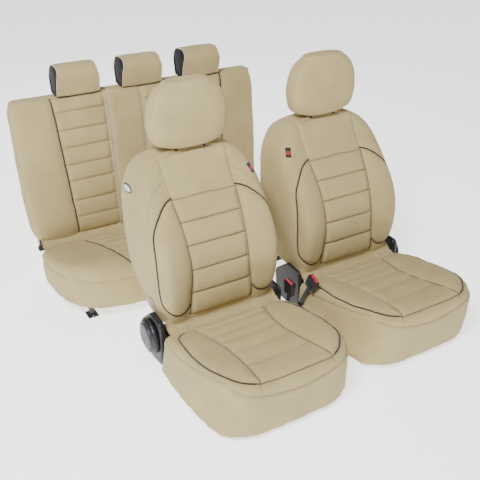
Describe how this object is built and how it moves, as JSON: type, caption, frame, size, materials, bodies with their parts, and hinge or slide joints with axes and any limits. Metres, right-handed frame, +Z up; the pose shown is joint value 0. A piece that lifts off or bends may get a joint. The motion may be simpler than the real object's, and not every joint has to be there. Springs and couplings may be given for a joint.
{
  "type": "seat cover set",
  "caption": "Padded seat covers with quilted centres, piped side panels and loose skirts, fitted on two adjustable front seats and a split folding rear bench.",
  "frame": {"origin": "on the floor, below the middle of the whole set's bounding box", "axes": "+Z up, -Y the way the seats face, +X towards the seated occupants' left"},
  "size_m": [1.625, 1.723, 1.157],
  "materials": {
    "cover_cloth": "padded knitted cloth, matt",
    "foam": "moulded foam",
    "pad_cloth": "dark woven cloth",
    "tag_cloth": "woven tag",
    "zip_tape": "zip tape and coil",
    "black_steel": "black painted",
    "zinc_steel": "zinc plated",
    "chrome_post": "polished",
    "black_plastic": "moulded, fine grain",
    "wheel_plastic": "satin moulded",
    "red_plastic": "gloss",
    "badge": "gloss"
  },
  "bodies": {
    "floor_fixings": {"floor_rails": "black_steel", "bench_base_frame": "black_steel", "bench_cushion_foam": "foam", "bench_cushion_cover": "cover_cloth"},
    "right_seat": {"right_slider_rails": "zinc_steel", "right_seat_pan": "black_steel", "right_cushion_foam": "foam", "right_cushion_cover": "cover_cloth", "right_outer_trim": "black_plastic", "right_inner_trim": "black_plastic"},
    "right_wheel": {"right_recliner_wheel": "wheel_plastic"},
    "right_bar": {"right_slide_bar": "black_steel"},
    "right_buckle": {"right_buckle_stalk": "black_plastic", "right_buckle_housing": "black_plastic"},
    "right_button": {"right_buckle_button": "red_plastic"},
    "right_back": {"right_back_frame": "black_steel", "right_back_foam": "foam", "right_back_cover": "cover_cloth", "right_post_guides": "black_plastic", "right_side_badge": "badge", "right_shoulder_tag": "tag_cloth"},
    "right_headrest": {"right_headrest_posts": "chrome_post", "right_headrest_foam": "foam", "right_headrest_cover": "cover_cloth"},
    "left_seat": {"left_slider_rails": "zinc_steel", "left_seat_pan": "black_steel", "left_cushion_foam": "foam", "left_cushion_cover": "cover_cloth", "left_outer_trim": "black_plastic", "left_inner_trim": "black_plastic"},
    "left_wheel": {"left_recliner_wheel": "wheel_plastic"},
    "left_bar": {"left_slide_bar": "black_steel"},
    "left_buckle": {"left_buckle_stalk": "black_plastic", "left_buckle_housing": "black_plastic"},
    "left_button": {"left_buckle_button": "red_plastic"},
    "left_back": {"left_back_frame": "black_steel", "left_back_foam": "foam", "left_back_cover": "cover_cloth", "left_post_guides": "black_plastic", "left_side_badge": "badge", "left_shoulder_tag": "tag_cloth"},
    "left_headrest": {"left_headrest_posts": "chrome_post", "left_headrest_foam": "foam", "left_headrest_cover": "cover_cloth"},
    "narrow_back": {"narrow_back_frame": "black_steel", "narrow_back_foam": "foam", "narrow_back_cover": "cover_cloth"},
    "wide_back": {"wide_back_frame": "black_steel", "wide_back_foam": "foam", "wide_back_cover": "cover_cloth", "wide_back_zip": "zip_tape"},
    "outer_head": {"outer_head_posts": "chrome_post", "outer_head_pad": "pad_cloth", "outer_head_cover": "cover_cloth"},
    "middle_head": {"middle_head_posts": "chrome_post", "middle_head_pad": "pad_cloth", "middle_head_cover": "cover_cloth"},
    "inner_head": {"inner_head_posts": "chrome_post", "inner_head_pad": "pad_cloth", "inner_head_cover": "cover_cloth"}
  },
  "joints": [
    {"name": "right_seat_slide", "type": "slide", "parent": "floor_fixings", "child": "right_seat", "axis": [0, -1, 0], "range_m": [-0.05, 0.16]},
    {"name": "right_recline", "type": "hinge", "parent": "right_seat", "child": "right_back", "pos_m": [-0.2595, -0.2025, 0.135], "axis": [1, 0, 0], "range_deg": [-15, 15]},
    {"name": "right_wheel_turn", "type": "hinge", "parent": "right_seat", "child": "right_wheel", "pos_m": [-0.2595, -0.2025, 0.135], "axis": [1, 0, 0], "range_deg": [-180, 180]},
    {"name": "right_headrest_slide", "type": "slide", "parent": "right_back", "child": "right_headrest", "axis": [0, 0.2419, 0.9703], "range_m": [0, 0.05]},
    {"name": "right_bar_lift", "type": "hinge", "parent": "right_seat", "child": "right_bar", "pos_m": [-0.2595, -0.7125, 0.065], "axis": [-1, 0, 0], "range_deg": [0, 6], "stiffness_Nm_per_rad": 20, "springref_deg": -5.73},
    {"name": "right_buckle_swing", "type": "hinge", "parent": "right_seat", "child": "right_buckle", "pos_m": [0.0625, -0.2965, 0.085], "axis": [1, 0, 0], "range_deg": [-4, 46]},
    {"name": "right_button_press", "type": "slide", "parent": "right_buckle", "child": "right_button", "axis": [0, 0.0698, -0.9976], "range_m": [0, 0.004], "stiffness_N_per_m": 800, "springref_m": -0.002},
    {"name": "left_seat_slide", "type": "slide", "parent": "floor_fixings", "child": "left_seat", "axis": [0, -1, 0], "range_m": [0, 0.16]},
    {"name": "left_recline", "type": "hinge", "parent": "left_seat", "child": "left_back", "pos_m": [0.4705, -0.1425, 0.135], "axis": [1, 0, 0], "range_deg": [-15, 15]},
    {"name": "left_wheel_turn", "type": "hinge", "parent": "left_seat", "child": "left_wheel", "pos_m": [0.4705, -0.1425, 0.135], "axis": [1, 0, 0], "range_deg": [-180, 180]},
    {"name": "left_headrest_slide", "type": "slide", "parent": "left_back", "child": "left_headrest", "axis": [0, 0.2419, 0.9703], "range_m": [0, 0.05]},
    {"name": "left_bar_lift", "type": "hinge", "parent": "left_seat", "child": "left_bar", "pos_m": [0.4705, -0.6525, 0.065], "axis": [-1, 0, 0], "range_deg": [0, 6], "stiffness_Nm_per_rad": 20, "springref_deg": -5.73},
    {"name": "left_buckle_swing", "type": "hinge", "parent": "left_seat", "child": "left_buckle", "pos_m": [0.1485, -0.2725, 0.085], "axis": [1, 0, 0], "range_deg": [-27, 23]},
    {"name": "left_button_press", "type": "slide", "parent": "left_buckle", "child": "left_button", "axis": [0, 0.454, -0.891], "range_m": [0, 0.004], "stiffness_N_per_m": 800, "springref_m": -0.002},
    {"name": "narrow_back_fold", "type": "hinge", "parent": "floor_fixings", "child": "narrow_back", "pos_m": [-0.1505, 0.7225, 0.17], "axis": [1, 0, 0], "range_deg": [0, 35]},
    {"name": "wide_back_fold", "type": "hinge", "parent": "floor_fixings", "child": "wide_back", "pos_m": [-0.1505, 0.7225, 0.17], "axis": [1, 0, 0], "range_deg": [0, 35]},
    {"name": "outer_head_slide", "type": "slide", "parent": "narrow_back", "child": "outer_head", "axis": [0, 0.108, 0.9942], "range_m": [0, 0.05]},
    {"name": "middle_head_slide", "type": "slide", "parent": "wide_back", "child": "middle_head", "axis": [0, 0.108, 0.9942], "range_m": [0, 0.05]},
    {"name": "inner_head_slide", "type": "slide", "parent": "wide_back", "child": "inner_head", "axis": [0, 0.108, 0.9942], "range_m": [0, 0.05]}
  ],
  "couplings": [
    {"joint": "right_wheel_turn", "follows": "right_recline", "ratio": 12},
    {"joint": "left_wheel_turn", "follows": "left_recline", "ratio": 12}
  ]
}
